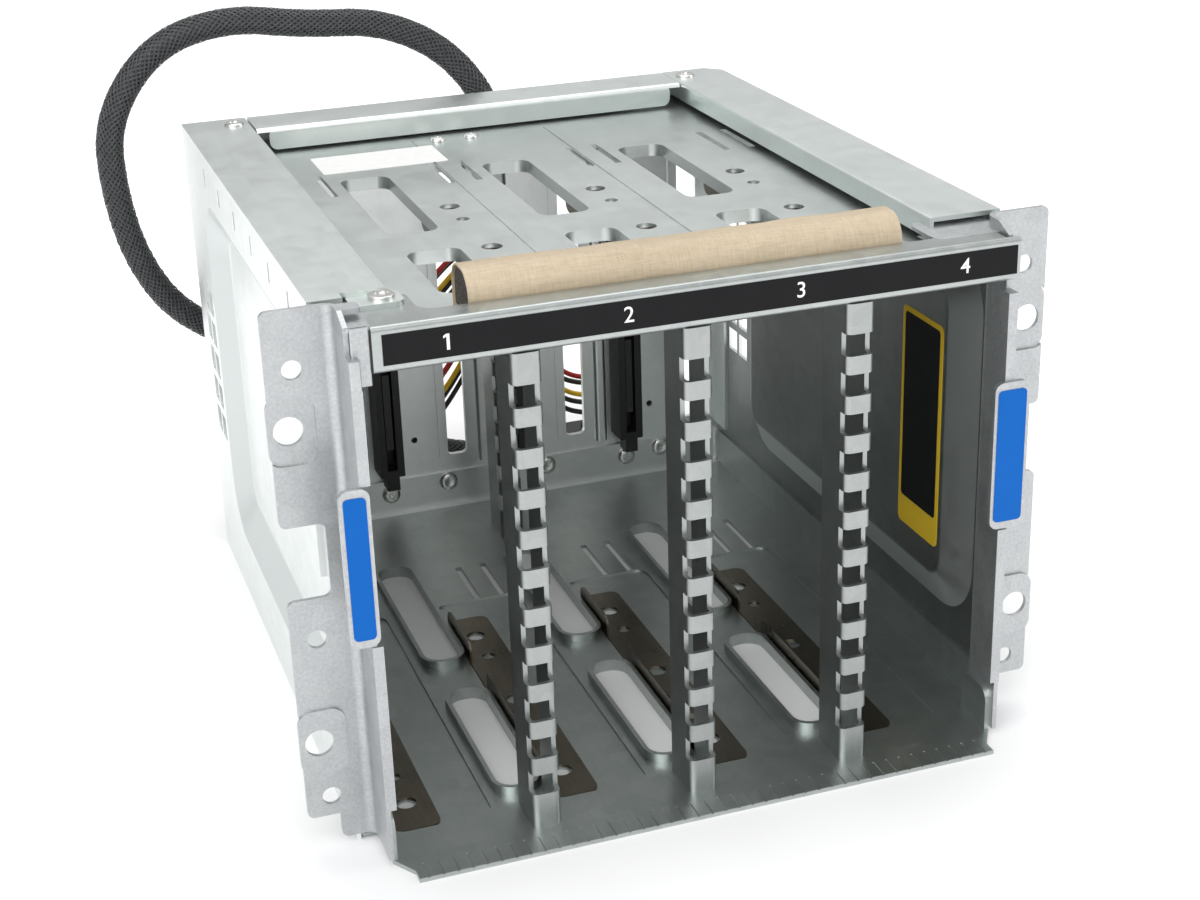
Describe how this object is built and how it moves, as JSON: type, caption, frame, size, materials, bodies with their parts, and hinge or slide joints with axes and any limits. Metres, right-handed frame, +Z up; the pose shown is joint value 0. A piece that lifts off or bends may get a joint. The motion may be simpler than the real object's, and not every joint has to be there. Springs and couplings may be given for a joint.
{
  "type": "drive cage",
  "caption": "Folded sheet-steel cage of side-by-side drive bays with perforated divider columns, spring guide strips, rear drive connectors and a sleeved cable harness.",
  "frame": {"origin": "underside of the floor, on the middle divider column, in line with the front face of the bar", "axes": "+X to the right seen from the front, +Y into the cage from its open front, +Z up"},
  "size_m": [0.1802, 0.2065, 0.1465],
  "materials": {
    "galvanised_sheet": "satin zinc-coated",
    "black_label": "matte",
    "wire_black": "satin",
    "black_plastic": "matte",
    "tongue_plastic": "gloss",
    "spring_steel": "satin",
    "conductive_fabric": "woven",
    "foam": "matte",
    "clamp_plastic": "matte",
    "braided_sleeve": "braided",
    "blue_label": "matte",
    "screw_steel": "bright",
    "wire_red": "satin",
    "wire_yellow": "satin"
  },
  "bodies": {
    "root": {"base_tray": "galvanised_sheet", "bay_number_strip": "black_label", "black_wires": "wire_black", "connector_holder_1": "black_plastic", "connector_holder_2": "black_plastic", "connector_holder_3": "black_plastic", "connector_holder_4": "black_plastic", "connector_tongue_1": "tongue_plastic", "connector_tongue_2": "tongue_plastic", "connector_tongue_3": "tongue_plastic", "connector_tongue_4": "tongue_plastic", "divider_column_1": "galvanised_sheet", "divider_column_2": "galvanised_sheet", "divider_column_3": "galvanised_sheet", "floor_guide_strip_1": "spring_steel", "floor_guide_strip_2": "spring_steel", "floor_guide_strip_3": "spring_steel", "floor_guide_strip_4": "spring_steel", "front_bar": "galvanised_sheet", "gasket_fabric": "conductive_fabric", "gasket_foam": "foam", "harness_clamp": "clamp_plastic", "harness_plug": "black_plastic", "harness_sleeve": "braided_sleeve", "left_front_bracket": "galvanised_sheet", "left_pull_label": "blue_label", "left_side_panel": "galvanised_sheet", "left_top_rail": "galvanised_sheet", "lid_rivets": "screw_steel", "rail_screws": "screw_steel", "rear_centre_post": "galvanised_sheet", "rear_flange_screws": "screw_steel", "rear_panel": "galvanised_sheet", "rear_top_rail": "galvanised_sheet", "red_wires": "wire_red", "right_front_bracket": "galvanised_sheet", "right_pull_label": "blue_label", "right_side_panel": "galvanised_sheet", "right_top_rail": "galvanised_sheet", "tab_screw": "screw_steel", "top_guide_strip_1": "spring_steel", "top_guide_strip_2": "spring_steel", "top_guide_strip_3": "spring_steel", "top_guide_strip_4": "spring_steel", "top_panel": "galvanised_sheet", "yellow_wires": "wire_yellow"}
  },
  "joints": []
}
